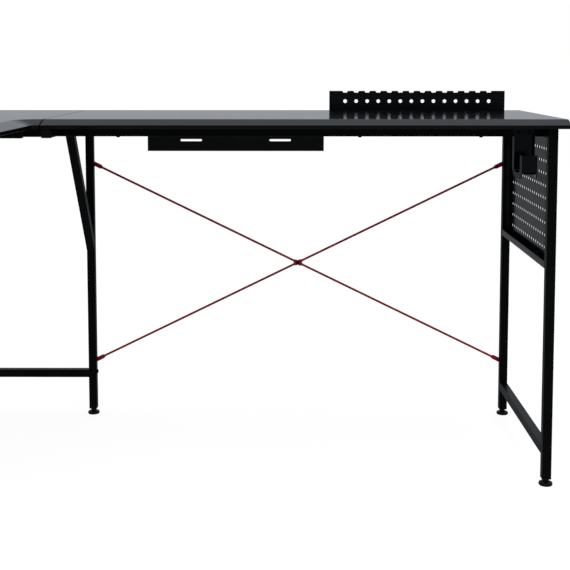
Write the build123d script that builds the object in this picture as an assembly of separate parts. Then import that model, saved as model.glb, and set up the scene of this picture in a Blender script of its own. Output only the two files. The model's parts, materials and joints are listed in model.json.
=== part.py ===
from build123d import *
import os

# L-shaped corner desk: three boards on a welded and bolted square tube frame, with cross rods,
# a pegboard end panel, a cable tray, a headphone hook and a rack strip along the back edge.
# Millimetres. +X runs to the right wing's end, +Y to the back, +Z up. The origin is on the floor,
# at the middle of the desk's box.

# Boards
desk_height = 750.0
board_thickness = 18.0
wing_depth = 500.0
right_board_length = 1055.0
left_board_length = 690.0
seam_gap = 0.8
corner_reach = 16.0  # the corner board runs this far past the inner corner, to each seam
inner_corner_radius = 10.0
slope_width = 34.0  # sloped front edge, measured across the top
slope_drop = 10.5

# Square tube frame
tube_side = 19.0
tube_wall = 1.2
tube_corner = 1.2  # flat across each rounded corner
leg_inset = 14.0  # from a wing's long edges to the legs
end_inset = 24.0  # from a wing's free end to its end frame
rail_inset = 68.0  # from a wing's long edges to its rails
arm_seam_gap = 1.0  # from the right seam to the right arm
left_arm_inset = 3.0  # from the right wing's front edge line to the left arm
left_arm_end_inset = 23.0  # from the left wing's inner edge to the left arm's end
link_inset = 48.0  # from the right wing's front edge to the corner link
link_end_margin = 4.0  # from the left arm's end to the corner link
end_stretcher_height = 71.5
corner_stretcher_height = 102.5
brace_run = 222.0
brace_rise = 290.0

# Levelling feet
leg_bottom = 16.0
foot_diameter = 28.0
foot_disc = 6.0
foot_neck_diameter = 13.0
foot_stud_diameter = 8.0
foot_stud_length = 30.0
foot_sides = 16
plug_flange = 2.0
plug_length = 28.0
stud_clearance = 0.05
plug_clearance = 0.1

# Bolted tube ends
bolt_diameter = 6.0
bolt_head_across = 10.0
bolt_head_height = 3.4
bolt_stagger = 3.4  # crossing bolts in one leg pass above and below each other
insert_length = 15.0
cap_plug = 8.0
bolt_clearance = 0.3

# Seam fittings
plate_thickness = 3.0
plate_width = 30.0
tab_length = 36.0
join_plate_half = 17.0  # from the left seam to each end of a joining plate
tab_margin = 100.0  # from the wing's long edges to the tabs
join_plate_margin = 130.0  # from the left wing's long edges to the joining plates

# Cross rods
rod_diameter = 5.5
rod_sides = 8
rod_flat_width = 10.0
rod_flat_thickness = 2.7
rod_tip = 8.0  # flat from an end bolt out to the rod's tip
rod_tip_cut = 3.0
rod_end_flat = 27.0  # flat from an end bolt inwards
rod_middle_flat = 15.0
rod_neck = 5.0
rod_top_height = 624.0
rod_bottom_height = 129.0
rod_bolt_diameter = 5.0
rod_bolt_head = 8.5
rod_bolt_head_height = 3.2
rod_insert_across = 7.5
rod_insert_length = 10.0

# Pegboard in the right end frame
peg_sheet = 0.7
peg_bottom = 447.0
peg_depth = 15.0  # from the leg's inner face to the perforated sheet
peg_lip = 14.5
peg_columns = 17
peg_rows = 9
peg_pitch_across = 20.0
peg_pitch_up = 25.7
peg_hole = 7.0
peg_row_margin = 33.0  # from the panel's bottom to the lowest row
peg_column_margin = 66.0  # from its front edge to the first column
peg_gap = 0.2
peg_front_bolt_heights = (500.0, 623.0)
peg_rear_bolt_heights = (500.0, 588.0)  # below the rod that is bolted to the same leg

# Headphone hook
hook_sheet = 2.5
hook_width = 45.0
hook_lip_width = 31.0
hook_reach = 60.0
hook_drop = 101.0  # from the board's underside to the hook's bottom
hook_lip_rise = 48.0
hook_bend = 12.0
hook_window = 17.0
hook_window_rise = 21.0
hook_from_end = 82.0  # from the right board's end to the hook's middle

# Cable tray
tray_sheet = 1.5
tray_width = 420.0
tray_depth = 60.0
tray_drop = 77.0  # from the board's underside to the tray's bottom
tray_lip = 14.0
tray_from_arm = 137.0
tray_slot_length = 51.0
tray_slot_height = 5.0
tray_slot_rise = 26.0  # from the tray's bottom to the slots' middle
tray_slot_half = 106.0

# Rack strip along the back edge
rack_sheet = 1.5
rack_length = 427.0
rack_rise = 47.0
rack_flange = 11.0
rack_from_end = 36.0
rack_holes = 14
rack_pitch = 26.9
rack_hole = 9.0
rack_hole_height = 22.0
rack_notch = 13.5  # width at the mouth of the notch over each hole
rack_notch_depth = 4.2
rack_notch_angle = 60.0
hole_sides = 10

# Places worked out from the sizes above
corner_board = wing_depth + corner_reach
half_tube = tube_side / 2
tube_bore = tube_side - 2 * tube_wall
x_left = -(right_board_length + corner_board) / 2
x_right = -x_left
x_seam = x_left + corner_board
x_inner = x_left + wing_depth
y_back = (left_board_length + corner_board - rack_sheet) / 2
y_front = y_back - corner_board - left_board_length
y_seam = y_back - corner_board
y_inner = y_back - wing_depth
z_under = desk_height - board_thickness
z_rail = z_under - half_tube
z_rail_low = z_under - tube_side
hook_bottom = z_under - hook_drop
tray_bottom = z_under - tray_drop

x_end = x_right - end_inset - half_tube
y_end = y_front + end_inset + half_tube
x_mid = x_seam + arm_seam_gap + half_tube
y_mid = y_inner + left_arm_inset + half_tube
x_outer = x_left + leg_inset + half_tube
y_rear = y_back - leg_inset - half_tube
y_leg_front = y_inner + leg_inset + half_tube
x_leg_inner = x_inner - leg_inset - half_tube
y_rail_front = y_inner + rail_inset + half_tube
y_rail_rear = y_back - rail_inset - half_tube
x_rail_inner = x_inner - rail_inset - half_tube
x_rail_outer = x_left + rail_inset + half_tube
x_arm_end = x_inner - left_arm_end_inset
y_arm_end = y_inner + leg_inset
x_link = x_arm_end - link_end_margin - half_tube
y_link = y_inner + link_inset + half_tube

legs = {
    "right_front": (x_end, y_leg_front),
    "right_rear": (x_end, y_rear),
    "right_mid": (x_mid, y_rear),
    "corner": (x_outer, y_rear),
    "left_mid": (x_outer, y_mid),
    "left_outer": (x_outer, y_end),
    "left_inner": (x_leg_inner, y_end),
}

# Straight tubes by name, each with its two end points on the tube's middle line
tubes = {f"leg_{name}": ((x, y, leg_bottom), (x, y, z_under)) for name, (x, y) in legs.items()}
tubes |= {
    "right_top_tube": (
        (x_end, y_leg_front + half_tube, z_rail),
        (x_end, y_rear - half_tube, z_rail),
    ),
    "right_end_stretcher": (
        (x_end, y_leg_front + half_tube, end_stretcher_height),
        (x_end, y_rear - half_tube, end_stretcher_height),
    ),
    "left_top_tube": (
        (x_outer + half_tube, y_end, z_rail),
        (x_leg_inner - half_tube, y_end, z_rail),
    ),
    "left_end_stretcher": (
        (x_outer + half_tube, y_end, end_stretcher_height),
        (x_leg_inner - half_tube, y_end, end_stretcher_height),
    ),
    "right_arm": ((x_mid, y_rear - half_tube, z_rail), (x_mid, y_arm_end, z_rail)),
    "left_arm": ((x_outer + half_tube, y_mid, z_rail), (x_arm_end, y_mid, z_rail)),
    "right_front_rail": (
        (x_mid + half_tube, y_rail_front, z_rail),
        (x_end - half_tube, y_rail_front, z_rail),
    ),
    "right_rear_rail": (
        (x_mid + half_tube, y_rail_rear, z_rail),
        (x_end - half_tube, y_rail_rear, z_rail),
    ),
    "left_inner_rail": (
        (x_rail_inner, y_mid - half_tube, z_rail),
        (x_rail_inner, y_end + half_tube, z_rail),
    ),
    "left_outer_rail": (
        (x_rail_outer, y_mid - half_tube, z_rail),
        (x_rail_outer, y_end + half_tube, z_rail),
    ),
    "corner_rear_rail": (
        (x_outer + half_tube, y_rear, z_rail),
        (x_mid - half_tube, y_rear, z_rail),
    ),
    "corner_side_rail": (
        (x_outer, y_rear - half_tube, z_rail),
        (x_outer, y_mid + half_tube, z_rail),
    ),
    "corner_rear_stretcher": (
        (x_outer + half_tube, y_rear, corner_stretcher_height),
        (x_mid - half_tube, y_rear, corner_stretcher_height),
    ),
    "corner_side_stretcher": (
        (x_outer, y_rear - half_tube, corner_stretcher_height),
        (x_outer, y_mid + half_tube, corner_stretcher_height),
    ),
}

# Tubes bolted at both ends, with the tubes that carry their start and their end
bolted = {
    "right_front_rail": ("right_arm", "right_top_tube"),
    "right_rear_rail": ("right_arm", "right_top_tube"),
    "left_inner_rail": ("left_arm", "left_top_tube"),
    "left_outer_rail": ("left_arm", "left_top_tube"),
    "corner_rear_rail": ("leg_corner", "leg_right_mid"),
    "corner_side_rail": ("leg_corner", "leg_left_mid"),
    "corner_rear_stretcher": ("leg_corner", "leg_right_mid"),
    "corner_side_stretcher": ("leg_corner", "leg_left_mid"),
}

nodes = {}
cuts = {}


def cut_later(node, shape):
    cuts.setdefault(node, []).append(shape)


def tube_section():
    section = chamfer(Rectangle(tube_side, tube_side).vertices(), tube_corner)
    return section - Rectangle(tube_bore, tube_bore)


def square_tube(start, end, across=None):
    way = Vector(*end) - Vector(*start)
    upright = abs(way.Z) > way.length / 2
    side_way = across or ((1, 0, 0) if upright else (0, 0, 1))
    return extrude(Plane(start, side_way, way) * tube_section(), way.length)


def box_between(low, high):
    size = [b - a for a, b in zip(low, high)]
    middle = [(a + b) / 2 for a, b in zip(low, high)]
    return Pos(*middle) * Box(*size)


def prism(diameter, sides, length):
    # What repeats often is round in the metal but drawn with a few flat sides
    return extrude(RegularPolygon(diameter / 2, sides), length)


def hex_pin(across, length):
    return extrude(RegularPolygon(across / 2, 6, major_radius=False), length)


def fastener(diameter, length, head_across, head_height):
    # The head stands on the XY plane and the shank runs down from it
    return hex_pin(head_across, head_height) + Pos(0, 0, -length) * hex_pin(diameter, length)


def make_tubes():
    for name, (start, end) in tubes.items():
        nodes[name] = square_tube(start, end)


def make_braces():
    # Each brace is cut flush with its leg's face and its arm's underside
    over = tube_side * 2
    rise = Vector(0, 0, 1)
    for name, foot, way, across in (
        ("right_brace", (x_mid, y_rear - half_tube), Vector(0, -1, 0), (1, 0, 0)),
        ("left_brace", (x_outer + half_tube, y_mid), Vector(1, 0, 0), (0, 1, 0)),
    ):
        foot_point = Vector(*foot, z_rail_low - brace_rise)
        top_point = foot_point + way * brace_run + rise * brace_rise
        slant = (top_point - foot_point).normalized()
        tube = square_tube(foot_point - slant * over, top_point + slant * over, across)
        reach = brace_run + brace_rise
        leg_face = Plane(foot_point + rise * brace_rise, across, way)
        room = extrude(leg_face * Rectangle(2 * tube_side, 2 * reach), reach)
        below = box_between(
            (x_left, y_front, leg_bottom),
            (x_right, y_back, z_rail_low),
        )
        nodes[name] = tube & room & below


def make_corner_link():
    start = (x_link, y_mid + half_tube, z_rail)
    path = Polyline(start, (x_link, y_link, z_rail), (x_mid - half_tube, y_link, z_rail))
    section = Plane(start, (0, 0, 1), (0, 1, 0)) * tube_section()
    nodes["corner_link"] = sweep(section, path, transition=Transition.RIGHT)


def bolt_tube_end(point, way, carrier, bolts, inserts):
    lift = Vector(0, 0, bolt_stagger if abs(way.X) > abs(way.Y) else -bolt_stagger)
    seat = Plane(point + way * tube_side + lift, z_dir=way)
    length = tube_side + insert_length
    bolts.append(seat * fastener(bolt_diameter, length, bolt_head_across, bolt_head_height))
    hole = Pos(0, 0, -length) * hex_pin(bolt_diameter + 2 * bolt_clearance, length)
    cut_later(carrier, seat * hole)
    plug_side = tube_bore - 2 * plug_clearance
    block = Pos(0, 0, -insert_length / 2) * Box(plug_side, plug_side, insert_length)
    inserts.append(Plane(point, z_dir=way) * block - seat * hole)


def make_frame_bolts():
    bolts = []
    inserts = []
    for rail, (first, last) in bolted.items():
        start, end = (Vector(*p) for p in tubes[rail])
        along = (end - start).normalized()
        bolt_tube_end(start, along * -1, first, bolts, inserts)
        bolt_tube_end(end, along, last, bolts, inserts)
    bolt_tube_end(Vector(x_link, y_mid + half_tube, z_rail), Vector(0, -1, 0), "left_arm", bolts, inserts)
    bolt_tube_end(Vector(x_mid - half_tube, y_link, z_rail), Vector(1, 0, 0), "right_arm", bolts, inserts)
    nodes["frame_bolts"] = Compound(children=bolts)
    nodes["tube_inserts"] = Compound(children=inserts)


def sloped_board(length):
    # A straight board lying along +X from the YZ plane, its sloped edge at the front
    with BuildSketch(Plane.YZ) as section:
        with BuildLine():
            Polyline(
                (0, 0),
                (wing_depth, 0),
                (wing_depth, board_thickness),
                (slope_width, board_thickness),
                (0, board_thickness - slope_drop),
                close=True,
            )
        make_face()
    return extrude(section.sketch, length)


def make_boards():
    right = sloped_board(right_board_length - seam_gap)
    nodes["right_board"] = Pos(x_seam + seam_gap, y_inner, z_under) * right
    left = Rot(0, 0, 90) * sloped_board(left_board_length - seam_gap)
    nodes["left_board"] = Pos(x_inner, y_front, z_under) * left
    with BuildSketch(Plane((0, 0, z_under))) as outline:
        with BuildLine():
            Polyline(
                (x_left, y_back),
                (x_left, y_seam),
                (x_inner, y_seam),
                (x_inner, y_inner),
                (x_seam, y_inner),
                (x_seam, y_back),
                close=True,
            )
        make_face()
        notch = outline.vertices().sort_by_distance((x_inner, y_inner, z_under))[0]
        fillet(notch, inner_corner_radius)
    slab = extrude(outline.sketch, board_thickness)
    top = slab.faces().sort_by(Axis.Z)[-1]
    middle = ((x_inner + x_seam) / 2, (y_inner + y_seam) / 2, desk_height)
    edges = top.edges().sort_by_distance(middle)[:3]
    nodes["corner_board"] = chamfer(edges, slope_width, slope_drop, reference=top)


def make_seam_fittings():
    # Tabs on the right arm carry the corner board; flat plates tie the left seam
    half = plate_width / 2
    low = z_under - plate_thickness
    arm_face = x_mid - half_tube
    nodes["seam_tabs"] = Compound(
        children=[
            box_between((arm_face - tab_length, y - half, low), (arm_face, y + half, z_under))
            for y in (y_inner + tab_margin, y_back - tab_margin)
        ]
    )
    places = (x_left + join_plate_margin, (x_left + x_inner) / 2, x_inner - join_plate_margin)
    nodes["joining_plates"] = Compound(
        children=[
            Pos(x, y_seam, (low + z_under) / 2) * Box(plate_width, 2 * join_plate_half, plate_thickness)
            for x in places
        ]
    )


def make_feet():
    plugs = []
    flange_bottom = leg_bottom - plug_flange
    neck = flange_bottom - foot_disc
    bore = foot_stud_diameter + 2 * stud_clearance
    plug_side = tube_bore - 2 * plug_clearance
    for name, (x, y) in legs.items():
        disc = prism(foot_diameter, foot_sides, foot_disc)
        disc = chamfer(disc.edges().group_by(Axis.Z)[-1], foot_disc / 3)
        foot = disc + Pos(0, 0, foot_disc) * prism(foot_neck_diameter, hole_sides, neck)
        foot += Pos(0, 0, flange_bottom) * hex_pin(foot_stud_diameter, foot_stud_length)
        nodes[f"foot_{name}"] = Pos(x, y, 0) * foot
        plug = Pos(0, 0, leg_bottom + plug_length / 2) * Box(plug_side, plug_side, plug_length)
        plug += Pos(0, 0, leg_bottom - plug_flange / 2) * Box(tube_side, tube_side, plug_flange)
        plug -= Pos(0, 0, flange_bottom) * hex_pin(bore, plug_flange + plug_length)
        plugs.append(Pos(x, y, 0) * plug)
    nodes["leg_plugs"] = Compound(children=plugs)


def make_end_caps():
    # Plastic caps close the open front ends of the two arms
    plug_side = tube_bore - 2 * plug_clearance
    cap = Pos(0, 0, plug_flange / 2) * Box(tube_side, tube_side, plug_flange)
    cap += Pos(0, 0, -cap_plug / 2) * Box(plug_side, plug_side, cap_plug)
    right_cap = Plane((x_mid, y_arm_end, z_rail), z_dir=(0, -1, 0)) * cap
    left_cap = Plane((x_arm_end, y_mid, z_rail), z_dir=(1, 0, 0)) * cap
    nodes["end_caps"] = Compound(children=[right_cap, left_cap])


def rod_section(width, height):
    half_turn = 180 / rod_sides
    corners = [half_turn + i * 2 * half_turn for i in range(rod_sides)]
    spots = [Vector(width / 2, 0).rotate(Axis.Z, angle) for angle in corners]
    return Polygon(*[(p.X, p.Y * height / width) for p in spots], align=None)


def pressed_plate(near, far, side):
    # A flat on one side of the rod's axis, from near to far along X, drilled at X = 0
    outline = Pos((near + far) / 2, 0) * Rectangle(far - near, rod_flat_width)
    outline -= RegularPolygon(rod_bolt_diameter / 2 + bolt_clearance, 6, major_radius=False)
    return extrude(outline, side * rod_flat_thickness)


def flattened_rod(length, end_side, middle_side):
    # A rod along X between its end bolts; its flats are pressed to one side or the other of its axis
    half_middle = rod_middle_flat / 2
    flat_start = length / 2 - rod_end_flat
    pressed = rod_section(rod_flat_width, rod_flat_thickness)
    full = rod_section(rod_diameter, rod_diameter)
    stations = (
        (half_middle, pressed, middle_side),
        (half_middle + rod_neck, full, 0),
        (flat_start - rod_neck, full, 0),
        (flat_start, pressed, end_side),
    )
    half = loft(
        [
            Plane((place, 0, side * rod_flat_thickness / 2), (0, 1, 0), (1, 0, 0)) * outline
            for place, outline, side in stations
        ],
        ruled=True,
    )
    end_plate = pressed_plate(-rod_end_flat, rod_tip, end_side)
    tip_edges = end_plate.edges().filter_by(Axis.Z).sort_by(Axis.X)[-2:]
    half += Pos(length / 2, 0, 0) * chamfer(tip_edges, rod_tip_cut)
    return pressed_plate(-half_middle, half_middle, middle_side) + half + mirror(half, Plane.YZ)


def make_cross_rods():
    # Each pair is bolted to the outer faces of two legs; where the rods cross, one lies on the other
    bolts = []
    inserts = []
    rear_face = y_rear + half_tube
    outer_face = x_outer - half_tube
    pairs = {
        "right": (("right_mid", x_mid, rear_face), ("right_rear", x_end, rear_face), Vector(0, 1, 0)),
        "left": (("left_mid", outer_face, y_mid), ("left_outer", outer_face, y_end), Vector(-1, 0, 0)),
    }
    for pair, (first, last, out) in pairs.items():
        # The front rod's axis lies in the legs' outer face, the rear rod's one flat further out
        for layer, lift, end_side, heights in (
            ("front", 0, 1, (rod_top_height, rod_bottom_height)),
            ("rear", rod_flat_thickness, -1, (rod_bottom_height, rod_top_height)),
        ):
            spots = [Vector(x, y, z) for (_, x, y), z in zip((first, last), heights)]
            span = spots[1] - spots[0]
            axis = Plane((spots[0] + spots[1]) / 2 + out * lift, span.normalized(), out)
            nodes[f"{pair}_cross_rod_{layer}"] = axis * flattened_rod(span.length, end_side, -1)
            for (leg, _, _), spot in zip((first, last), spots):
                length = rod_flat_thickness + rod_insert_length
                seat = Plane(spot + out * rod_flat_thickness, z_dir=out)
                bolts.append(seat * fastener(rod_bolt_diameter, length, rod_bolt_head, rod_bolt_head_height))
                sleeve = Pos(0, 0, -rod_insert_length) * hex_pin(rod_insert_across, rod_insert_length)
                sleeve = Plane(spot, z_dir=out) * sleeve
                cut_later(f"leg_{leg}", sleeve)
                inserts.append(sleeve - seat * rod_bolt_hole(length))
        crossing = (spots[0] + spots[1]) / 2
        seat = Plane(crossing - out * rod_flat_thickness, z_dir=out * -1)
        bolts.append(seat * rod_bolt(2 * rod_flat_thickness))
    nodes["rod_bolts"] = Compound(children=bolts)
    nodes["rod_inserts"] = Compound(children=inserts)


def rod_bolt(grip):
    head = hex_pin(rod_bolt_head, rod_bolt_head_height)
    nut = Pos(0, 0, -grip - rod_bolt_head_height) * head
    return head + nut + Pos(0, 0, -grip) * hex_pin(rod_bolt_diameter, grip)


def rod_bolt_hole(grip):
    return Pos(0, 0, -grip) * hex_pin(rod_bolt_diameter + 2 * bolt_clearance, grip)


def make_pegboard():
    # A perforated sheet folded inwards on all sides, with a lip turned up along the bottom
    inner_face = x_end - half_tube
    near = y_leg_front + half_tube + peg_gap
    far = y_rear - half_tube - peg_gap
    top = z_rail_low - peg_gap
    sheet_face = inner_face + peg_depth
    pan = box_between((inner_face, near, peg_bottom), (sheet_face, far, top))
    pan -= box_between(
        (inner_face, near + peg_sheet, peg_bottom + peg_sheet),
        (sheet_face, far - peg_sheet, top - peg_sheet),
    )
    lip_high = (inner_face + peg_sheet, far, peg_bottom + peg_lip)
    pan += box_between((inner_face, near, peg_bottom), lip_high)
    middle = (peg_bottom + top) / 2
    grid_lift = peg_bottom + peg_row_margin + (peg_rows - 1) * peg_pitch_up / 2 - middle
    grid_set_back = peg_column_margin + (peg_columns - 1) * peg_pitch_across / 2 - (far - near) / 2
    holes = GridLocations(peg_pitch_up, peg_pitch_across, peg_rows, peg_columns)
    holed = Rectangle(top - peg_bottom, far - near)
    holed -= [Pos(grid_lift, -grid_set_back) * spot * RegularPolygon(peg_hole / 2, 6) for spot in holes]
    sheet = Plane((sheet_face, (near + far) / 2, middle), (0, 0, 1), (1, 0, 0))
    pan += extrude(sheet * holed, peg_sheet)
    nodes["pegboard"] = pan
    make_pegboard_bolts(inner_face + peg_depth / 2)


def make_pegboard_bolts(x):
    bolts = []
    grip = tube_side + peg_gap + peg_sheet
    for leg, y, way, heights in (
        ("leg_right_front", y_leg_front, -1, peg_front_bolt_heights),
        ("leg_right_rear", y_rear, 1, peg_rear_bolt_heights),
    ):
        for height in heights:
            seat = Plane((x, y + way * half_tube, height), z_dir=(0, way, 0))
            bolts.append(seat * rod_bolt(grip))
            hole = seat * rod_bolt_hole(grip)
            cut_later(leg, hole)
            cut_later("pegboard", hole)
    nodes["pegboard_bolts"] = Compound(children=bolts)


def make_hook():
    # One bent strip: a plate on the front rail, a rounded seat and a narrower lip with a window
    x = x_right - hook_from_end
    plate_back = y_rail_front - half_tube
    front = plate_back - hook_reach
    half_sheet = hook_sheet / 2
    with BuildSketch(Plane.YZ.offset(x)) as section:
        with BuildLine() as line:
            FilletPolyline(
                (plate_back - half_sheet, z_under - half_sheet),
                (plate_back - half_sheet, hook_bottom + half_sheet),
                (front + half_sheet, hook_bottom + half_sheet),
                (front + half_sheet, hook_bottom + hook_lip_rise - half_sheet),
                radius=hook_bend,
            )
            offset(line.line, half_sheet, side=Side.BOTH, kind=Kind.INTERSECTION)
        make_face()
    strip = extrude(section.sketch, hook_width / 2, both=True)
    with BuildSketch() as plan:
        with BuildLine():
            Polyline(
                (x - hook_width / 2, plate_back),
                (x - hook_width / 2, plate_back - hook_sheet),
                (x - hook_lip_width / 2, front + hook_bend),
                (x - hook_lip_width / 2, front),
                (x + hook_lip_width / 2, front),
                (x + hook_lip_width / 2, front + hook_bend),
                (x + hook_width / 2, plate_back - hook_sheet),
                (x + hook_width / 2, plate_back),
                close=True,
            )
        make_face()
    strip &= extrude(plan.sketch, desk_height)
    strip -= box_between(
        (x - hook_window / 2, front, hook_bottom),
        (x + hook_window / 2, plate_back, hook_bottom + hook_window_rise),
    )
    nodes["headphone_hook"] = strip


def make_tray():
    # A folded sheet hung on the rear rail, open to the back so that cables can be laid in
    near = y_rail_rear + half_tube
    left = x_mid + half_tube + tray_from_arm
    right = left + tray_width
    tray = box_between((left, near, tray_bottom), (right, near + tray_sheet, z_under))
    tray += box_between((left, near, tray_bottom), (right, near + tray_depth, tray_bottom + tray_sheet))
    tray += box_between(
        (left, near + tray_depth - tray_sheet, tray_bottom),
        (right, near + tray_depth, tray_bottom + tray_lip),
    )
    middle = (left + right) / 2
    for side in (-1, 1):
        slot = extrude(SlotOverall(tray_slot_length, tray_slot_height), tray_sheet, both=True)
        tray -= Pos(middle + side * tray_slot_half, near, tray_bottom + tray_slot_rise) * Rot(90, 0, 0) * slot
    nodes["cable_tray"] = tray


def make_rack():
    # A strip standing behind the back edge, with a notch over each hole; the end holes take bolts
    right = x_right - rack_from_end
    left = right - rack_length
    middle = (left + right) / 2
    low = z_under - rack_sheet
    top = desk_height + rack_rise
    strip = box_between((left, y_back, low), (right, y_back + rack_sheet, top))
    strip += box_between((left, y_back - rack_flange, low), (right, y_back, z_under))
    # The sketches below lie on a plane whose own Y axis points down
    notch = Trapezoid(rack_notch, rack_notch_depth, rack_notch_angle, align=(Align.CENTER, Align.MIN))
    for i in range(rack_holes):
        x = middle + (i - (rack_holes - 1) / 2) * rack_pitch
        end_hole = i in (0, rack_holes - 1)
        hole = Circle(rack_hole / 2) if end_hole else RegularPolygon(rack_hole / 2, hole_sides)
        for outline, height in ((hole, desk_height + rack_hole_height), (notch, top)):
            strip -= extrude(Plane((x, y_back, height), (1, 0, 0), (0, 1, 0)) * outline, rack_sheet)
    nodes["rack_strip"] = strip


def make_desk():
    make_tubes()
    make_braces()
    make_corner_link()
    make_boards()
    make_frame_bolts()
    make_seam_fittings()
    make_feet()
    make_end_caps()
    make_cross_rods()
    make_pegboard()
    make_hook()
    make_tray()
    make_rack()
    for node, shapes in cuts.items():
        nodes[node] -= shapes


make_desk()
os.makedirs("parts", exist_ok=True)
for name, shape in nodes.items():
    export_step(shape, f"parts/{name}.step")
print(len(nodes), "nodes")
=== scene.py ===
import bpy
import json
import math
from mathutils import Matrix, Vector


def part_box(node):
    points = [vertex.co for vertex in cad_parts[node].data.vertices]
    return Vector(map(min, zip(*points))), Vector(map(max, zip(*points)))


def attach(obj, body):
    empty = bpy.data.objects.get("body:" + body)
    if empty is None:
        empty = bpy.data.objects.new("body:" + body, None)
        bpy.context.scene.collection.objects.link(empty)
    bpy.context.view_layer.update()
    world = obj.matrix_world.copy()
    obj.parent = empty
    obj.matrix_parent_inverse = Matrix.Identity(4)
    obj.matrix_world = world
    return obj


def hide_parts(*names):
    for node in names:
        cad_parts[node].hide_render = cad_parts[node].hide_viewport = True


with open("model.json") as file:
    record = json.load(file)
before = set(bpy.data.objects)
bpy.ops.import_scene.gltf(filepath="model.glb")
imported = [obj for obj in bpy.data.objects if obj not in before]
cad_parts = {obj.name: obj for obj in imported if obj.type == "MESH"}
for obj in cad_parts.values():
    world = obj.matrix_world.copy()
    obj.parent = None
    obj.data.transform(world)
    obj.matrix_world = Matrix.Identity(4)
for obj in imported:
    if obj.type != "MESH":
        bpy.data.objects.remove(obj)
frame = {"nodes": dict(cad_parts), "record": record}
nodes = frame["nodes"]
nodeSlots = {part["node"]: part["material_slot"] for part in frame["record"]["subparts"]}
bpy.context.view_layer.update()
print("frame loaded with", len(nodes), "nodes")


def mm(size):
    return size / 1000


near = mm(0.01)  # points closer than this are one point
squareOn = 0.9  # a normal with more than this cosine to a way looks that way
flatAngle = math.radians(0.5)  # faces that turn less than this are one face
smoothAngle = math.radians(35)  # edges that turn less than this are shaded round


def linear(hexColour):
    parts = [int(hexColour[i:i + 2], 16) / 255 for i in (1, 3, 5)]
    return [p / 12.92 if p <= 0.04045 else ((p + 0.055) / 1.055) ** 2.4 for p in parts] + [1]


def emptyTree(owner):
    owner.use_nodes = True
    owner.node_tree.nodes.clear()
    return owner.node_tree


def addNode(tree, kind, settings, links):
    node = tree.nodes.new(kind)
    for name, value in settings.items():
        if name in node.inputs:
            node.inputs[name].default_value = value
        else:
            setattr(node, name, value)
    for name, source in links.items():
        tree.links.new(source, node.inputs[name])
    return node


toneStops = {"dark": 0.3, "light": 0.7}
cloudNoise = {"Detail": 3.0, "Roughness": 0.6}
grainNoise = {"Detail": 2.0}


def finishMaterial(name, look):
    # shared skeleton: two close tones in soft clouds, a fine bump, and roughness from the clouds
    material = bpy.data.materials.new(name)
    tree = emptyTree(material)
    place = addNode(tree, "ShaderNodeTexCoord", {}, {}).outputs["Object"]
    cloud = addNode(tree, "ShaderNodeTexNoise",
                    {"Scale": 1 / mm(look["cloudMm"]), **cloudNoise}, {"Vector": place})
    tone = addNode(tree, "ShaderNodeValToRGB", {}, {"Fac": cloud.outputs["Fac"]})
    for stop, (shade, position) in zip(tone.color_ramp.elements, toneStops.items()):
        stop.position = position
        stop.color = linear(look[shade])
    grain = addNode(tree, "ShaderNodeTexNoise",
                    {"Scale": 1 / mm(look["grainMm"]), **grainNoise}, {"Vector": place})
    bump = addNode(tree, "ShaderNodeBump",
                   {"Strength": look["grainStrength"], "Distance": mm(look["grainDepthMm"])},
                   {"Height": grain.outputs["Fac"]})
    gloss = addNode(tree, "ShaderNodeMapRange",
                    {"To Min": look["roughness"][0], "To Max": look["roughness"][1]},
                    {"Value": cloud.outputs["Fac"]})
    surface = addNode(tree, "ShaderNodeBsdfPrincipled",
                      {"Metallic": look.get("metallic", 0.0),
                       "Specular IOR Level": look.get("specular", 0.5)},
                      {"Base Color": tone.outputs["Color"], "Roughness": gloss.outputs["Result"],
                       "Normal": bump.outputs["Normal"]})
    addNode(tree, "ShaderNodeOutputMaterial", {}, {"Surface": surface.outputs["BSDF"]})
    return material


# polyester powder baked on steel tube: satin black, a fine orange peel breaks up the highlights
# real peel is about 1 mm across, drawn at 2.5 mm so that it shows
powderCoat = finishMaterial("satinBlackPowderCoat", {
    "dark": "#08090a", "light": "#0d0e0f", "cloudMm": 90, "grainMm": 2.5, "grainDepthMm": 0.05,
    "grainStrength": 0.3, "roughness": (0.3, 0.42), "specular": 0.14})

# the same powder on folded sheet, smoother, so that the panels show soft reflections
sheetCoat = finishMaterial("blackPowderCoatedSheet", {
    "dark": "#08090b", "light": "#0e0f11", "cloudMm": 120, "grainMm": 2.0, "grainDepthMm": 0.02,
    "grainStrength": 0.12, "roughness": (0.11, 0.16), "specular": 0.24})

# melamine-faced particle board pressed with a fine pebble, which blurs what it mirrors at a low
# angle; the pebble is about 0.6 mm, drawn at 1.8 mm
laminate = finishMaterial("blackMelamineBoard", {
    "dark": "#0a0b0d", "light": "#0f1013", "cloudMm": 160, "grainMm": 1.8, "grainDepthMm": 0.01,
    "grainStrength": 0.04, "roughness": (0.09, 0.12), "specular": 0.25})

# oil-bound enamel on thin steel rod: red that reads dark at the rod's width, with a soft gloss
redEnamel = finishMaterial("darkRedEnamel", {
    "dark": "#d0223a", "light": "#ea3249", "cloudMm": 25, "grainMm": 1.5, "grainDepthMm": 0.03,
    "grainStrength": 0.3, "roughness": (0.3, 0.42), "specular": 0.4})

# steel bolts blackened in hot oxide: dark grey metal with a dry sheen
blackOxide = finishMaterial("blackOxideSteel", {
    "dark": "#1b1c1e", "light": "#2a2b2e", "cloudMm": 6, "grainMm": 0.9, "grainDepthMm": 0.03,
    "grainStrength": 0.3, "roughness": (0.38, 0.55), "metallic": 0.8})

# moulded polypropylene feet and plugs: dull black with a spark-eroded grain
mouldedPlastic = finishMaterial("mouldedBlackPolypropylene", {
    "dark": "#0d0d0e", "light": "#161617", "cloudMm": 18, "grainMm": 0.8, "grainDepthMm": 0.04,
    "grainStrength": 0.5, "roughness": (0.5, 0.66), "specular": 0.35})

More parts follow.
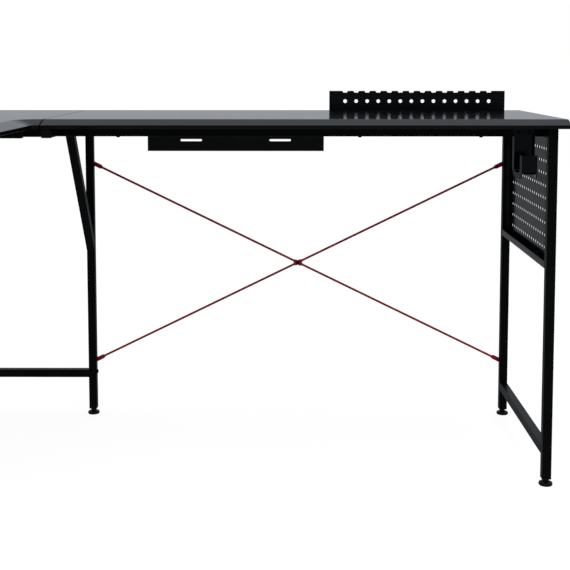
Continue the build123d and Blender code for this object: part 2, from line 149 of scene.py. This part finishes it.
slotMaterials = {"frame_tube": powderCoat, "worktop": laminate, "accessory_sheet": sheetCoat,
                 "red_rod": redEnamel, "bolt": blackOxide, "black_plastic": mouldedPlastic}


def dress(piece, material):
    piece.data.materials.clear()
    piece.data.materials.append(material)


for name, piece in nodes.items():
    dress(piece, slotMaterials[nodeSlots[name]])
print("materials on", len(nodes), "nodes")


def pickOnly(piece):
    bpy.ops.object.select_all(action="DESELECT")
    piece.select_set(True)
    bpy.context.view_layer.objects.active = piece


# the three select functions find the mesh in edit mode and leave it there
def selectFaces(piece, test):
    # test gets a face's middle and normal
    bpy.ops.mesh.select_all(action="DESELECT")
    bpy.ops.object.mode_set(mode="OBJECT")
    for face in piece.data.polygons:
        face.select = test(face.center, face.normal)
    bpy.ops.object.mode_set(mode="EDIT")


def selectEdges(piece, test):
    # test gets the two ends of an edge
    bpy.ops.mesh.select_all(action="DESELECT")
    bpy.ops.mesh.select_mode(type="EDGE")
    bpy.ops.object.mode_set(mode="OBJECT")
    spots = [v.co for v in piece.data.vertices]
    for edge in piece.data.edges:
        edge.select = test(*[spots[i] for i in edge.vertices])
    bpy.ops.object.mode_set(mode="EDIT")


def selectPoints(piece, test):
    bpy.ops.mesh.select_all(action="DESELECT")
    bpy.ops.mesh.select_mode(type="VERT")
    bpy.ops.object.mode_set(mode="OBJECT")
    for v in piece.data.vertices:
        v.select = test(v.co)
    bpy.ops.object.mode_set(mode="EDIT")


def startPlane(place, turn, size):
    # a flat start at its full size, with its place in its mesh
    bpy.ops.object.select_all(action="DESELECT")
    bpy.ops.mesh.primitive_plane_add(size=1, rotation=turn, location=place)
    plane = bpy.context.active_object
    plane.scale = (*size, 1)
    bpy.ops.object.transform_apply(location=True, rotation=True, scale=True)
    return plane


def startCylinder(place, radius, depth, sides):
    # a round start, with its place in its mesh
    bpy.ops.object.select_all(action="DESELECT")
    bpy.ops.mesh.primitive_cylinder_add(vertices=sides, radius=radius, depth=depth, location=place)
    bpy.ops.object.transform_apply(location=True, rotation=True, scale=True)
    return bpy.context.active_object


def pullOut(x, y, z):
    # what is selected grows on by this much
    bpy.ops.mesh.extrude_region_move(TRANSFORM_OT_translate={"value": (x, y, z)})


def thicken(piece, thickness, evenOffset):
    # a sheet gets its wall, inwards from the side that the normals look to
    pickOnly(piece)
    wall = piece.modifiers.new("sheet", "SOLIDIFY")
    wall.thickness = thickness
    wall.offset = -1
    wall.use_even_offset = evenOffset
    bpy.ops.object.modifier_apply(modifier=wall.name)


def cutOut(piece, cutter):
    # the cutter's form comes out of the piece, and the cutter goes
    pickOnly(piece)
    cut = piece.modifiers.new("cut", "BOOLEAN")
    cut.operation = "DIFFERENCE"
    cut.object = cutter
    bpy.ops.object.modifier_apply(modifier=cut.name)
    pickOnly(cutter)
    bpy.ops.object.delete()


def softBevel(piece, widthMm, segments, angle):
    pickOnly(piece)
    bevel = piece.modifiers.new("softEdge", "BEVEL")
    bevel.width = mm(widthMm)
    bevel.segments = segments
    bevel.limit_method = "ANGLE"
    bevel.angle_limit = math.radians(angle)
    bpy.ops.object.modifier_apply(modifier=bevel.name)
    bpy.ops.object.shade_smooth_by_angle(angle=smoothAngle)
    # large faces stay flat beside their eased edges
    weighted = piece.modifiers.new("flatFaces", "WEIGHTED_NORMAL")
    weighted.weight = 100
    weighted.keep_sharp = True
    bpy.ops.object.modifier_apply(modifier=weighted.name)


def join(pieces, name):
    bpy.ops.object.select_all(action="DESELECT")
    for piece in pieces:
        piece.select_set(True)
    bpy.context.view_layer.objects.active = pieces[0]
    bpy.ops.object.join()
    bpy.ops.object.transform_apply(location=True, rotation=True, scale=True)
    pieces[0].name = name
    return pieces[0]


def standFor(piece, node, body):
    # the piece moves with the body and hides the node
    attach(piece, body)
    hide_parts(node)


def mergedCopy(node, name):
    # the node's loose triangles joined into whole faces
    piece = bpy.data.objects.new(name, nodes[node].data.copy())
    bpy.context.collection.objects.link(piece)
    pickOnly(piece)
    bpy.ops.object.mode_set(mode="EDIT")
    bpy.ops.mesh.select_all(action="SELECT")
    bpy.ops.mesh.remove_doubles(threshold=near)
    bpy.ops.mesh.dissolve_limited(angle_limit=flatAngle)
    bpy.ops.object.mode_set(mode="OBJECT")
    return piece


def drawBack(piece, way, distance):
    # the outermost flat side that looks this way moves in a little
    way = Vector(way)
    reach = max(v.co.dot(way) for v in piece.data.vertices)
    bpy.ops.object.mode_set(mode="EDIT")
    selectFaces(piece, lambda spot, normal: normal.dot(way) > squareOn
                and spot.dot(way) > reach - near)
    bpy.ops.transform.translate(value=-way * distance)
    bpy.ops.object.mode_set(mode="OBJECT")


def softCopy(node, name, widthMm, segments, angle, seams=(), seamMm=0):
    # a copy of a rigid node with its edges eased, standing for the node
    piece = mergedCopy(node, name)
    for way in seams:
        drawBack(piece, way, mm(seamMm))
    softBevel(piece, widthMm, segments, angle)
    standFor(piece, node, "desk")


# boards: the pressed edges are eased to catch a thin line of light, and the seams open a little
boardEdges = {"widthMm": 0.5, "segments": 3, "angle": 10, "seamMm": 0.9}
boardSeams = {"right_board": [(-1, 0, 0)], "corner_board": [(1, 0, 0), (0, -1, 0)],
              "left_board": [(0, 1, 0)]}
for board, seams in boardSeams.items():
    softCopy(board, "eased_" + board, seams=seams, **boardEdges)
print("boards eased")

# rods: drawn steel, round between their pressed ends
rodEdges = {"widthMm": 0.15, "segments": 1, "angle": 60}
for side in ("right", "left"):
    for layer in ("front", "rear"):
        softCopy(f"{side}_cross_rod_{layer}", f"round_{side}_rod_{layer}", **rodEdges)
print("rods rounded")

# folded sheet: sheared edges rounded by the coat
sheetEdges = {"widthMm": 0.5, "segments": 2, "angle": 40}
for sheet in ("cable_tray", "rack_strip"):
    softCopy(sheet, "coated_" + sheet, **sheetEdges)
print("sheet parts eased")

# tubes and small plates: drawn corners and sawn ends, rounded by the powder
tubeEdges = {"widthMm": 0.45, "segments": 2, "angle": 30}
for node, slotName in nodeSlots.items():
    if slotName == "frame_tube" or node == "joining_plates":
        softCopy(node, "coated_" + node, **tubeEdges)
print("tubes eased")

# plastic plugs and caps: moulded with soft rims
capEdges = {"widthMm": 0.5, "segments": 3, "angle": 40}
for cap in ("leg_plugs", "end_caps"):
    softCopy(cap, "moulded_" + cap, **capEdges)
print("plugs and caps eased")


# headphone hook: folded sheet, a back plate and a front lip between two J-shaped cheeks, open below
hookShape = {"sheetMm": 2, "armMm": 12, "seatMm": 12, "cheekTopMm": 14, "lipWidthMm": 31,
             "lipHeightMm": 48, "lipStartMm": 14, "backBendMm": 26, "frontBendMm": 14,
             "innerBendMm": 8, "cornerSteps": 8, "plateTurn": 54, "plateSteps": 6}
hookEdges = {"widthMm": 0.4, "segments": 2, "angle": 40}


def makeCheek(side):
    # one J: back arm, seat and front arm in one face with rounded corners, turned in to the lip
    low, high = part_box("headphone_hook")
    arm = mm(hookShape["armMm"])
    seatTop = low.z + mm(hookShape["seatMm"])
    armTop = high.z - mm(hookShape["cheekTopMm"])
    lipTop = low.z + mm(hookShape["lipHeightMm"])
    backEdge, frontEdge = high.y - arm, low.y + arm
    outside = high.x if side > 0 else low.x
    taper = (high.x - low.x - mm(hookShape["lipWidthMm"])) / 2
    cheek = startPlane((outside, high.y - arm / 2, (seatTop + armTop) / 2), (0, math.pi / 2, 0),
                       (armTop - seatTop, arm))
    bpy.ops.object.mode_set(mode="EDIT")
    selectEdges(cheek, lambda a, b: max(a.z, b.z) < seatTop + near)
    pullOut(0, 0, low.z - seatTop)
    selectEdges(cheek, lambda a, b: max(a.y, b.y) < backEdge + near
                and max(a.z, b.z) < seatTop + near)
    pullOut(0, frontEdge - backEdge, 0)
    pullOut(0, -arm, 0)
    selectEdges(cheek, lambda a, b: max(a.y, b.y) < frontEdge + near
                and min(a.z, b.z) > seatTop - near)
    pullOut(0, 0, lipTop - seatTop)
    bpy.ops.mesh.select_all(action="SELECT")
    bpy.ops.mesh.dissolve_limited(angle_limit=flatAngle)
    corners = (("backBendMm", high.y, low.z), ("frontBendMm", low.y, low.z),
               ("innerBendMm", backEdge, seatTop), ("innerBendMm", frontEdge, seatTop))
    for bend, y, z in corners:
        selectPoints(cheek, lambda spot: abs(spot.y - y) < near and abs(spot.z - z) < near)
        bpy.ops.mesh.bevel(offset=mm(hookShape[bend]), segments=hookShape["cornerSteps"],
                           affect="VERTICES")
    bpy.ops.object.mode_set(mode="OBJECT")
    for v in cheek.data.vertices:
        v.co.x -= side * taper * (high.y - v.co.y) / (high.y - low.y)
    if cheek.data.polygons[0].normal.x * side < 0:
        cheek.data.flip_normals()
    thicken(cheek, mm(hookShape["sheetMm"]), False)
    return cheek


def makePlate(y, width, bottom, top, bend):
    # a flat plate; with a bend its lower end goes on round the cheeks' back corner
    low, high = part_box("headphone_hook")
    middle = (low + high) / 2
    plate = startPlane((middle.x, y, (bottom + top) / 2), (math.pi / 2, 0, 0),
                       (width, top - bottom))
    if bend:
        bpy.ops.object.mode_set(mode="EDIT")
        selectEdges(plate, lambda a, b: max(a.z, b.z) < bottom + near)
        steps = hookShape["plateSteps"]
        turns = [math.radians(hookShape["plateTurn"]) * i / steps for i in range(steps + 1)]
        for before, after in zip(turns, turns[1:]):
            pullOut(0, bend * (math.cos(after) - math.cos(before)),
                    bend * (math.sin(before) - math.sin(after)))
        bpy.ops.mesh.select_all(action="SELECT")
        bpy.ops.mesh.normals_make_consistent(inside=False)
        bpy.ops.object.mode_set(mode="OBJECT")
    if plate.data.polygons[0].normal.y * (y - middle.y) < 0:
        plate.data.flip_normals()
    thicken(plate, mm(hookShape["sheetMm"]), False)
    return plate


def makeHook():
    low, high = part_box("headphone_hook")
    bend = mm(hookShape["backBendMm"])
    # the plates end inside the cheeks' thickness
    plateWidth = high.x - low.x - mm(hookShape["sheetMm"])
    lipWidth = mm(hookShape["lipWidthMm"] - hookShape["sheetMm"])
    lipBottom = low.z + mm(hookShape["lipStartMm"])
    lipTop = low.z + mm(hookShape["lipHeightMm"])
    hook = join([makeCheek(-1), makeCheek(1),
                 makePlate(high.y, plateWidth, low.z + bend, high.z, bend),
                 makePlate(low.y, lipWidth, lipBottom, lipTop, 0)], "folded_headphone_hook")
    softBevel(hook, **hookEdges)
    dress(hook, sheetCoat)
    standFor(hook, "headphone_hook", "desk")


makeHook()
print("headphone hook folded")


# pegboard: thin sheet punched with round holes, folded back on all sides, with a lip turned up
# along the bottom
pegPanel = {"columns": 17, "rows": 9, "acrossMm": 20, "upMm": 25.7, "holeMm": 7, "holeSides": 16,
            "lowestRowMm": 33, "firstColumnMm": 66, "sheetMm": 0.7, "lipMm": 14.5,
            "bendMm": 0.6, "bendSteps": 2, "bendAngle": 60, "smoothAngle": 30, "mergeMm": 0.05}


def liesAt(axis, place, a, b):
    return all(abs(getattr(spot, axis) - place) < near for spot in (a, b))


def makePegPanel():
    low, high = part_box("pegboard")
    sheet, across, up = mm(pegPanel["sheetMm"]), mm(pegPanel["acrossMm"]), mm(pegPanel["upMm"])
    face = high.x - sheet  # the side that looks at the knee space
    firstY = low.y + mm(pegPanel["firstColumnMm"])
    firstZ = low.z + mm(pegPanel["lowestRowMm"])
    upright = (0, -math.pi / 2, 0)
    # one cell of the sheet: a square frame of edges bridged to a round hole
    panel = startPlane((face, firstY, firstZ), upright, (up, across))
    panel.name = "punched_pegboard"
    bpy.ops.object.mode_set(mode="EDIT")
    bpy.ops.mesh.select_all(action="SELECT")
    bpy.ops.mesh.delete(type="ONLY_FACE")
    bpy.ops.mesh.select_all(action="SELECT")
    bpy.ops.mesh.subdivide(number_cuts=pegPanel["holeSides"] // 4 - 1)
    bpy.ops.mesh.primitive_circle_add(vertices=pegPanel["holeSides"], rotation=upright,
                                      radius=mm(pegPanel["holeMm"]) / 2,
                                      location=(face, firstY, firstZ))
    bpy.ops.mesh.select_all(action="SELECT")
    bpy.ops.mesh.bridge_edge_loops()
    bpy.ops.object.mode_set(mode="OBJECT")
    for count, step in ((pegPanel["columns"], (0, across, 0)), (pegPanel["rows"], (0, 0, up))):
        cells = panel.modifiers.new("holes", "ARRAY")
        cells.count = count
        cells.use_relative_offset = False
        cells.use_constant_offset = True
        cells.constant_offset_displace = step
        cells.use_merge_vertices = True
        cells.merge_threshold = mm(pegPanel["mergeMm"])
        bpy.ops.object.modifier_apply(modifier=cells.name)
    # plain margins round the holes, out to the folds
    bpy.ops.object.mode_set(mode="EDIT")
    edges = {"y": [firstY - across / 2, firstY + (pegPanel["columns"] - 0.5) * across],
             "z": [firstZ - up / 2, firstZ + (pegPanel["rows"] - 0.5) * up]}
    folds = {"y": [low.y + sheet, high.y - sheet], "z": [low.z + sheet, high.z - sheet]}
    for axis in ("y", "z"):
        for edge, fold in zip(edges[axis], folds[axis]):
            selectEdges(panel, lambda a, b: liesAt(axis, edge, a, b))
            pullOut(*[fold - edge if k == axis else 0 for k in "xyz"])
    # the bottom fold with its lip, then the other three folds
    selectEdges(panel, lambda a, b: liesAt("z", folds["z"][0], a, b))
    pullOut(low.x + sheet - face, 0, 0)
    pullOut(0, 0, mm(pegPanel["lipMm"]) - sheet)
    sides = (("y", folds["y"][0]), ("y", folds["y"][1]), ("z", folds["z"][1]))
    selectEdges(panel, lambda a, b: liesAt("x", face, a, b)
                and any(liesAt(axis, fold, a, b) for axis, fold in sides))
    pullOut(low.x - face, 0, 0)
    bpy.ops.mesh.select_all(action="SELECT")
    bpy.ops.mesh.remove_doubles(threshold=near)
    bpy.ops.mesh.normals_make_consistent(inside=False)
    bpy.ops.mesh.select_all(action="DESELECT")
    bpy.ops.mesh.edges_select_sharp(sharpness=math.radians(pegPanel["bendAngle"]))
    bpy.ops.mesh.bevel(offset=mm(pegPanel["bendMm"]), segments=pegPanel["bendSteps"])
    bpy.ops.object.mode_set(mode="OBJECT")
    flat = [f for f in panel.data.polygons if abs(f.center.x - face) < near]
    if flat[0].normal.x > 0:
        panel.data.flip_normals()
    thicken(panel, sheet, True)
    bpy.ops.object.shade_smooth_by_angle(angle=math.radians(pegPanel["smoothAngle"]))
    dress(panel, sheetCoat)
    standFor(panel, "pegboard", "desk")


makePegPanel()
print("pegboard punched and folded")


# bolts: domed heads with a hexagon socket, and a nut where the solid is as wide at both ends
frameBolt = {"headMm": 10, "headHeightMm": 3.4, "domeShare": 0.72, "domeSteps": 5, "socketMm": 4,
             "socketDepthMm": 2.2, "shankMm": 6, "sides": 32}
rodBolt = {"headMm": 8.5, "headHeightMm": 3.2, "domeShare": 0.72, "domeSteps": 5, "socketMm": 3,
           "socketDepthMm": 2, "shankMm": 5, "sides": 32}
nutEdges = {"widthMm": 0.5, "segments": 2, "angle": 30}
hexSides = 6
evenEnds = mm(0.1)  # a solid whose ends differ less than this in reach has a nut


def makeHead(look, shankLength):
    # a domed head with its shank, standing on the origin as it would be dropped into its hole
    radius, top = mm(look["headMm"]) / 2, mm(look["headHeightMm"])
    head = startCylinder((0, 0, top / 2), radius, top, look["sides"])
    bpy.ops.object.mode_set(mode="EDIT")
    selectEdges(head, lambda a, b: min(a.z, b.z) > top - near)
    bpy.ops.mesh.bevel(offset=top * look["domeShare"], segments=look["domeSteps"])
    selectFaces(head, lambda spot, normal: normal.z < -squareOn)
    bpy.ops.mesh.inset(thickness=radius - mm(look["shankMm"]) / 2)
    pullOut(0, 0, -shankLength)
    bpy.ops.object.mode_set(mode="OBJECT")
    return head


def finishFastener(piece):
    pickOnly(piece)
    bpy.ops.object.shade_smooth_by_angle(angle=smoothAngle)
    dress(piece, blackOxide)
    return piece


def makeBolt(look, length, withNut):
    top = mm(look["headHeightMm"])
    bolt = makeHead(look, length)
    keyRadius = mm(look["socketMm"]) / math.sqrt(3)  # a hexagon's corners, from its width
    cutOut(bolt, startCylinder((0, 0, top), keyRadius, mm(look["socketDepthMm"]) * 2, hexSides))
    if withNut:
        nut = startCylinder((0, 0, -length - top / 2), mm(look["headMm"]) / 2, top, hexSides)
        softBevel(nut, **nutEdges)
        bolt = join([bolt, nut], "boltModel")
    return finishFastener(bolt)


def setCopies(model, spots, name):
    # copies of one fastener, each with its own mesh, seated and turned, joined as one piece
    copies = []
    for seat, way in spots:
        piece = model.copy()
        piece.data = model.data.copy()
        bpy.context.collection.objects.link(piece)
        piece.location = seat
        piece.rotation_euler = Vector(way).to_track_quat("Z", "Y").to_euler()
        copies.append(piece)
    bpy.data.objects.remove(model)
    return join(copies, name)


def solidCorners(node):
    # for each loose solid of a node: its lowest and highest corner, and all its points
    mergedCopy(node, "spare")
    bpy.ops.mesh.separate(type="LOOSE")
    solids = []
    for solid in bpy.context.selected_objects:
        spots = [v.co.copy() for v in solid.data.vertices]
        low = Vector([min(spot[k] for spot in spots) for k in range(3)])
        high = Vector([max(spot[k] for spot in spots) for k in range(3)])
        solids.append((low, high, spots))
    bpy.ops.object.delete()
    return solids


def boltSeats(node, headHeight, facing):
    # a bolt lies along its solid's longest side; facing says where a head with a nut looks
    seats = []
    for low, high, spots in solidCorners(node):
        size = high - low
        axis = max(range(3), key=lambda k: size[k])
        middle = (low + high) / 2
        reach = {}
        for end, place in ((-1, low[axis]), (1, high[axis])):
            flat = [spot - middle for spot in spots if abs(spot[axis] - place) < near]
            reach[end] = max((spot.length_squared - spot[axis] ** 2) ** 0.5 for spot in flat)
        wider = 1 if reach[1] > reach[-1] else -1
        withNut = abs(reach[1] - reach[-1]) < evenEnds
        way = Vector((0, 0, 0))
        way[axis] = facing(middle, axis) if withNut else wider
        seat = middle.copy()
        seat[axis] = (high if way[axis] > 0 else low)[axis] - way[axis] * headHeight
        seats.append((seat, way, size[axis], withNut))
    return seats


def placeBolts(node, look, facing):
    # one model for each length, with or without a nut
    headHeight = mm(look["headHeightMm"])
    sorts = {}
    for seat, way, size, withNut in boltSeats(node, headHeight, facing):
        length = size - headHeight * (2 if withNut else 1)
        sorts.setdefault((round(length, 5), withNut), []).append((seat, way))
    groups = [setCopies(makeBolt(look, length, withNut), spots, "boltGroup")
              for (length, withNut), spots in sorts.items()]
    standFor(join(groups, "domed_" + node), node, "desk")


panelLow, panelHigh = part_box("pegboard")
panelMiddle = (panelLow + panelHigh) / 2
placeBolts("frame_bolts", frameBolt, lambda middle, axis: 1)
placeBolts("rod_bolts", rodBolt, lambda middle, axis: -1 if middle[axis] > 0 else 1)
placeBolts("pegboard_bolts", rodBolt,
           lambda middle, axis: 1 if middle[axis] > panelMiddle[axis] else -1)
print("bolts placed")


# screws: pan heads with a cross recess hold the boards and the sheet parts
panScrew = {"headMm": 7.5, "headHeightMm": 2.4, "domeShare": 0.6, "domeSteps": 4,
            "recessLongMm": 4, "recessWideMm": 1.1, "recessDeepMm": 1.4,
            "shankMm": 4, "shankLengthMm": 2, "sides": 24}
boardScrews = {"right_front_rail": 4, "right_rear_rail": 4, "left_inner_rail": 3,
               "left_outer_rail": 3, "corner_rear_rail": 2, "corner_side_rail": 2,
               "seam_tabs": 2, "joining_plates": 2}
sheetScrews = {"headphone_hook": 2, "cable_tray": 3, "rack_strip": 3}
trayWallMm = 1.5


def makeScrew():
    top = mm(panScrew["headHeightMm"])
    screw = makeHead(panScrew, mm(panScrew["shankLengthMm"]))
    for turn in (0, math.pi / 2):
        bpy.ops.object.select_all(action="DESELECT")
        bpy.ops.mesh.primitive_cube_add(size=1, location=(0, 0, top), rotation=(0, 0, turn))
        blade = bpy.context.active_object
        blade.scale = (mm(panScrew["recessLongMm"]), mm(panScrew["recessWideMm"]),
                       mm(panScrew["recessDeepMm"]) * 2)
        cutOut(screw, blade)
    return finishFastener(screw)


def spread(low, high, count):
    return [low + (high - low) * (i + 0.5) / count for i in range(count)]


def screwSpots():
    down = (0, 0, -1)
    spots = []
    # up through the rails and the plates into the boards, along the middle of each
    for node, count in boardScrews.items():
        for low, high, _ in solidCorners(node):
            middle = (low + high) / 2
            if high.x - low.x > high.y - low.y:
                places = [(x, middle.y, low.z) for x in spread(low.x, high.x, count)]
            else:
                places = [(middle.x, y, low.z) for y in spread(low.y, high.y, count)]
            spots += [(place, down) for place in places]
    # through the hook's plate and the tray's wall, level with the rails' middle, and up through
    # the strip's foot
    acrossSheet = {node: spread(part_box(node)[0].x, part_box(node)[1].x, count)
                   for node, count in sheetScrews.items()}
    rearLow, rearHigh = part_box("right_rear_rail")
    level = (rearLow.z + rearHigh.z) / 2
    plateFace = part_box("right_front_rail")[0].y - mm(hookShape["sheetMm"])
    spots += [((x, plateFace, level), (0, -1, 0)) for x in acrossSheet["headphone_hook"]]
    wallFace = rearHigh.y + mm(trayWallMm)
    spots += [((x, wallFace, level), (0, 1, 0)) for x in acrossSheet["cable_tray"]]
    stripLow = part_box("rack_strip")[0]
    footMiddle = (stripLow.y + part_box("right_board")[1].y) / 2
    spots += [((x, footMiddle, stripLow.z), down) for x in acrossSheet["rack_strip"]]
    return spots


screws = setCopies(makeScrew(), screwSpots(), "pan_head_screws")
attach(screws, "desk")
print("screws placed")


# feet: a moulded pad with a rounded rim, a short neck and a threaded stud
footShape = {"padMm": 6, "rimMm": 1.6, "rimSteps": 4, "neckMm": 13, "neckTopMm": 14, "studMm": 8,
             "pitchMm": 1.25, "threadMm": 0.7, "sides": 48, "smoothAngle": 40}


def makeFoot(leg):
    low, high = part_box("foot_" + leg)
    middle = (low + high) / 2
    radius = (high.x - low.x) / 2
    padTop, neckTop = mm(footShape["padMm"]), mm(footShape["neckTopMm"])
    foot = startCylinder((middle.x, middle.y, padTop / 2), radius, padTop, footShape["sides"])
    foot.name = "levelling_foot_" + leg
    bpy.ops.object.mode_set(mode="EDIT")
    selectFaces(foot, lambda spot, normal: normal.z > squareOn)
    bpy.ops.mesh.inset(thickness=radius - mm(footShape["neckMm"]) / 2)
    pullOut(0, 0, neckTop - padTop)
    bpy.ops.mesh.inset(thickness=mm(footShape["neckMm"] - footShape["studMm"]) / 2)
    # each turn of the thread goes in to its root and out again
    pitch = mm(footShape["pitchMm"])
    root = 1 - footShape["threadMm"] * 2 / footShape["studMm"]
    for _ in range(int((high.z - neckTop) / pitch)):
        for scale in (root, 1 / root):
            pullOut(0, 0, pitch / 2)
            bpy.ops.transform.resize(value=(scale, scale, 1),
                                     center_override=(middle.x, middle.y, 0))
    selectEdges(foot, lambda a, b: any(liesAt("z", level, a, b) for level in (0, padTop))
                and min((spot.xy - middle.xy).length for spot in (a, b)) > radius - near)
    bpy.ops.mesh.bevel(offset=mm(footShape["rimMm"]), segments=footShape["rimSteps"])
    bpy.ops.object.mode_set(mode="OBJECT")
    bpy.ops.object.shade_smooth_by_angle(angle=math.radians(footShape["smoothAngle"]))
    dress(foot, mouldedPlastic)
    standFor(foot, "foot_" + leg, leg + "_foot")


for leg in ("right_front", "right_rear", "right_mid", "corner", "left_mid", "left_outer",
            "left_inner"):
    makeFoot(leg)
print("feet made")


# camera: where the photograph was taken from, nearly level, looking a little down
viewPoint = {"place": (0.2292, -2.0164, 0.8526), "down": 4.8, "turn": 0.32, "focalPx": 1072.8,
             "axisRow": 158, "picturePx": 570, "sensorMm": 36, "farthest": 1500}
cameraData = bpy.data.cameras.new("photoCamera")
camera = bpy.data.objects.new("photoCamera", cameraData)
bpy.context.collection.objects.link(camera)
camera.location = viewPoint["place"]
camera.rotation_euler = (math.radians(90 - viewPoint["down"]), 0, math.radians(viewPoint["turn"]))
cameraData.sensor_width = viewPoint["sensorMm"]
cameraData.lens = viewPoint["focalPx"] / viewPoint["picturePx"] * viewPoint["sensorMm"]
cameraData.shift_y = viewPoint["axisRow"] / viewPoint["picturePx"] - 0.5
cameraData.clip_end = viewPoint["farthest"]
bpy.context.scene.camera = camera

# studio: the camera sees white all round, gloss mirrors a cool white sweep behind and a dim room
# in front, and all other light is an even fill
studio = {"white": "#ffffff", "cool": "#f0f7ff", "floorGrey": "#8a8a8a", "behind": 0.48,
          "front": 0.05, "dimTo": -0.3, "brightFrom": 0.5, "ambient": 0.42, "backdrop": 1.0,
          "floorGlow": 0.9, "floorMirrored": 0.2, "floorSize": 900}


def splitLooks(tree, plain, mirrored, shown):
    # one look for the camera, one for gloss and one for all other light
    rays = addNode(tree, "ShaderNodeLightPath", {}, {})
    gloss = addNode(tree, "ShaderNodeMath", {"operation": "MAXIMUM"},
                    {0: rays.outputs["Is Glossy Ray"], 1: rays.outputs["Is Transmission Ray"]})
    unseen = addNode(tree, "ShaderNodeMixShader", {},
                     {0: gloss.outputs[0], 1: plain.outputs[0], 2: mirrored.outputs[0]})
    seen = addNode(tree, "ShaderNodeMixShader", {},
                   {0: rays.outputs["Is Camera Ray"], 1: unseen.outputs[0], 2: shown.outputs[0]})
    return seen.outputs[0]


def addLight(tree, kind, colour, strength):
    return addNode(tree, kind, {"Color": linear(studio[colour]), "Strength": studio[strength]}, {})


world = bpy.data.worlds.new("studio")
bpy.context.scene.world = world
tree = emptyTree(world)
heading = addNode(tree, "ShaderNodeTexCoord", {}, {})
split = addNode(tree, "ShaderNodeSeparateXYZ", {}, {"Vector": heading.outputs["Generated"]})
room = addNode(tree, "ShaderNodeMapRange",
               {"From Min": studio["dimTo"], "From Max": studio["brightFrom"],
                "To Min": studio["front"], "To Max": studio["behind"],
                "interpolation_type": "SMOOTHSTEP"}, {"Value": split.outputs["Y"]})
sweep = addNode(tree, "ShaderNodeBackground", {"Color": linear(studio["cool"])},
                {"Strength": room.outputs["Result"]})
fill = addLight(tree, "ShaderNodeBackground", "white", "ambient")
backdrop = addLight(tree, "ShaderNodeBackground", "white", "backdrop")
addNode(tree, "ShaderNodeOutputWorld", {}, {"Surface": splitLooks(tree, fill, sweep, backdrop)})

bpy.ops.object.select_all(action="DESELECT")
bpy.ops.mesh.primitive_plane_add(size=studio["floorSize"])
floor = bpy.context.active_object
floor.name = "floor"
floorPaint = bpy.data.materials.new("paleStudioFloor")
tree = emptyTree(floorPaint)
paint = addNode(tree, "ShaderNodeBsdfDiffuse", {"Color": linear(studio["floorGrey"])}, {})
glow = addLight(tree, "ShaderNodeEmission", "white", "floorGlow")
lit = addNode(tree, "ShaderNodeAddShader", {}, {0: paint.outputs[0], 1: glow.outputs[0]})
sheen = addLight(tree, "ShaderNodeEmission", "cool", "floorMirrored")
addNode(tree, "ShaderNodeOutputMaterial", {}, {"Surface": splitLooks(tree, paint, sheen, lit)})
dress(floor, floorPaint)

# lamps: one large soft box overhead and a smaller one from the left front
lamps = {"overhead": {"place": (0.2, -0.4, 3.4), "aim": (0.1, 0.1, 0.4), "size": 3.2, "watts": 45},
         "leftFront": {"place": (-2.6, -2.8, 2.2), "aim": (0.1, 0.3, 0.5), "size": 1.8, "watts": 5}}
for name, lamp in lamps.items():
    data = bpy.data.lights.new(name, "AREA")
    data.shape = "SQUARE"
    data.size = lamp["size"]
    data.energy = lamp["watts"]
    light = bpy.data.objects.new(name, data)
    bpy.context.collection.objects.link(light)
    light.location = lamp["place"]
    aim = Vector(lamp["aim"]) - Vector(lamp["place"])
    light.rotation_euler = aim.to_track_quat("-Z", "Y").to_euler()
bpy.context.scene.view_settings.view_transform = "Standard"
print("camera, studio and lamps set")

bpy.context.view_layer.update()
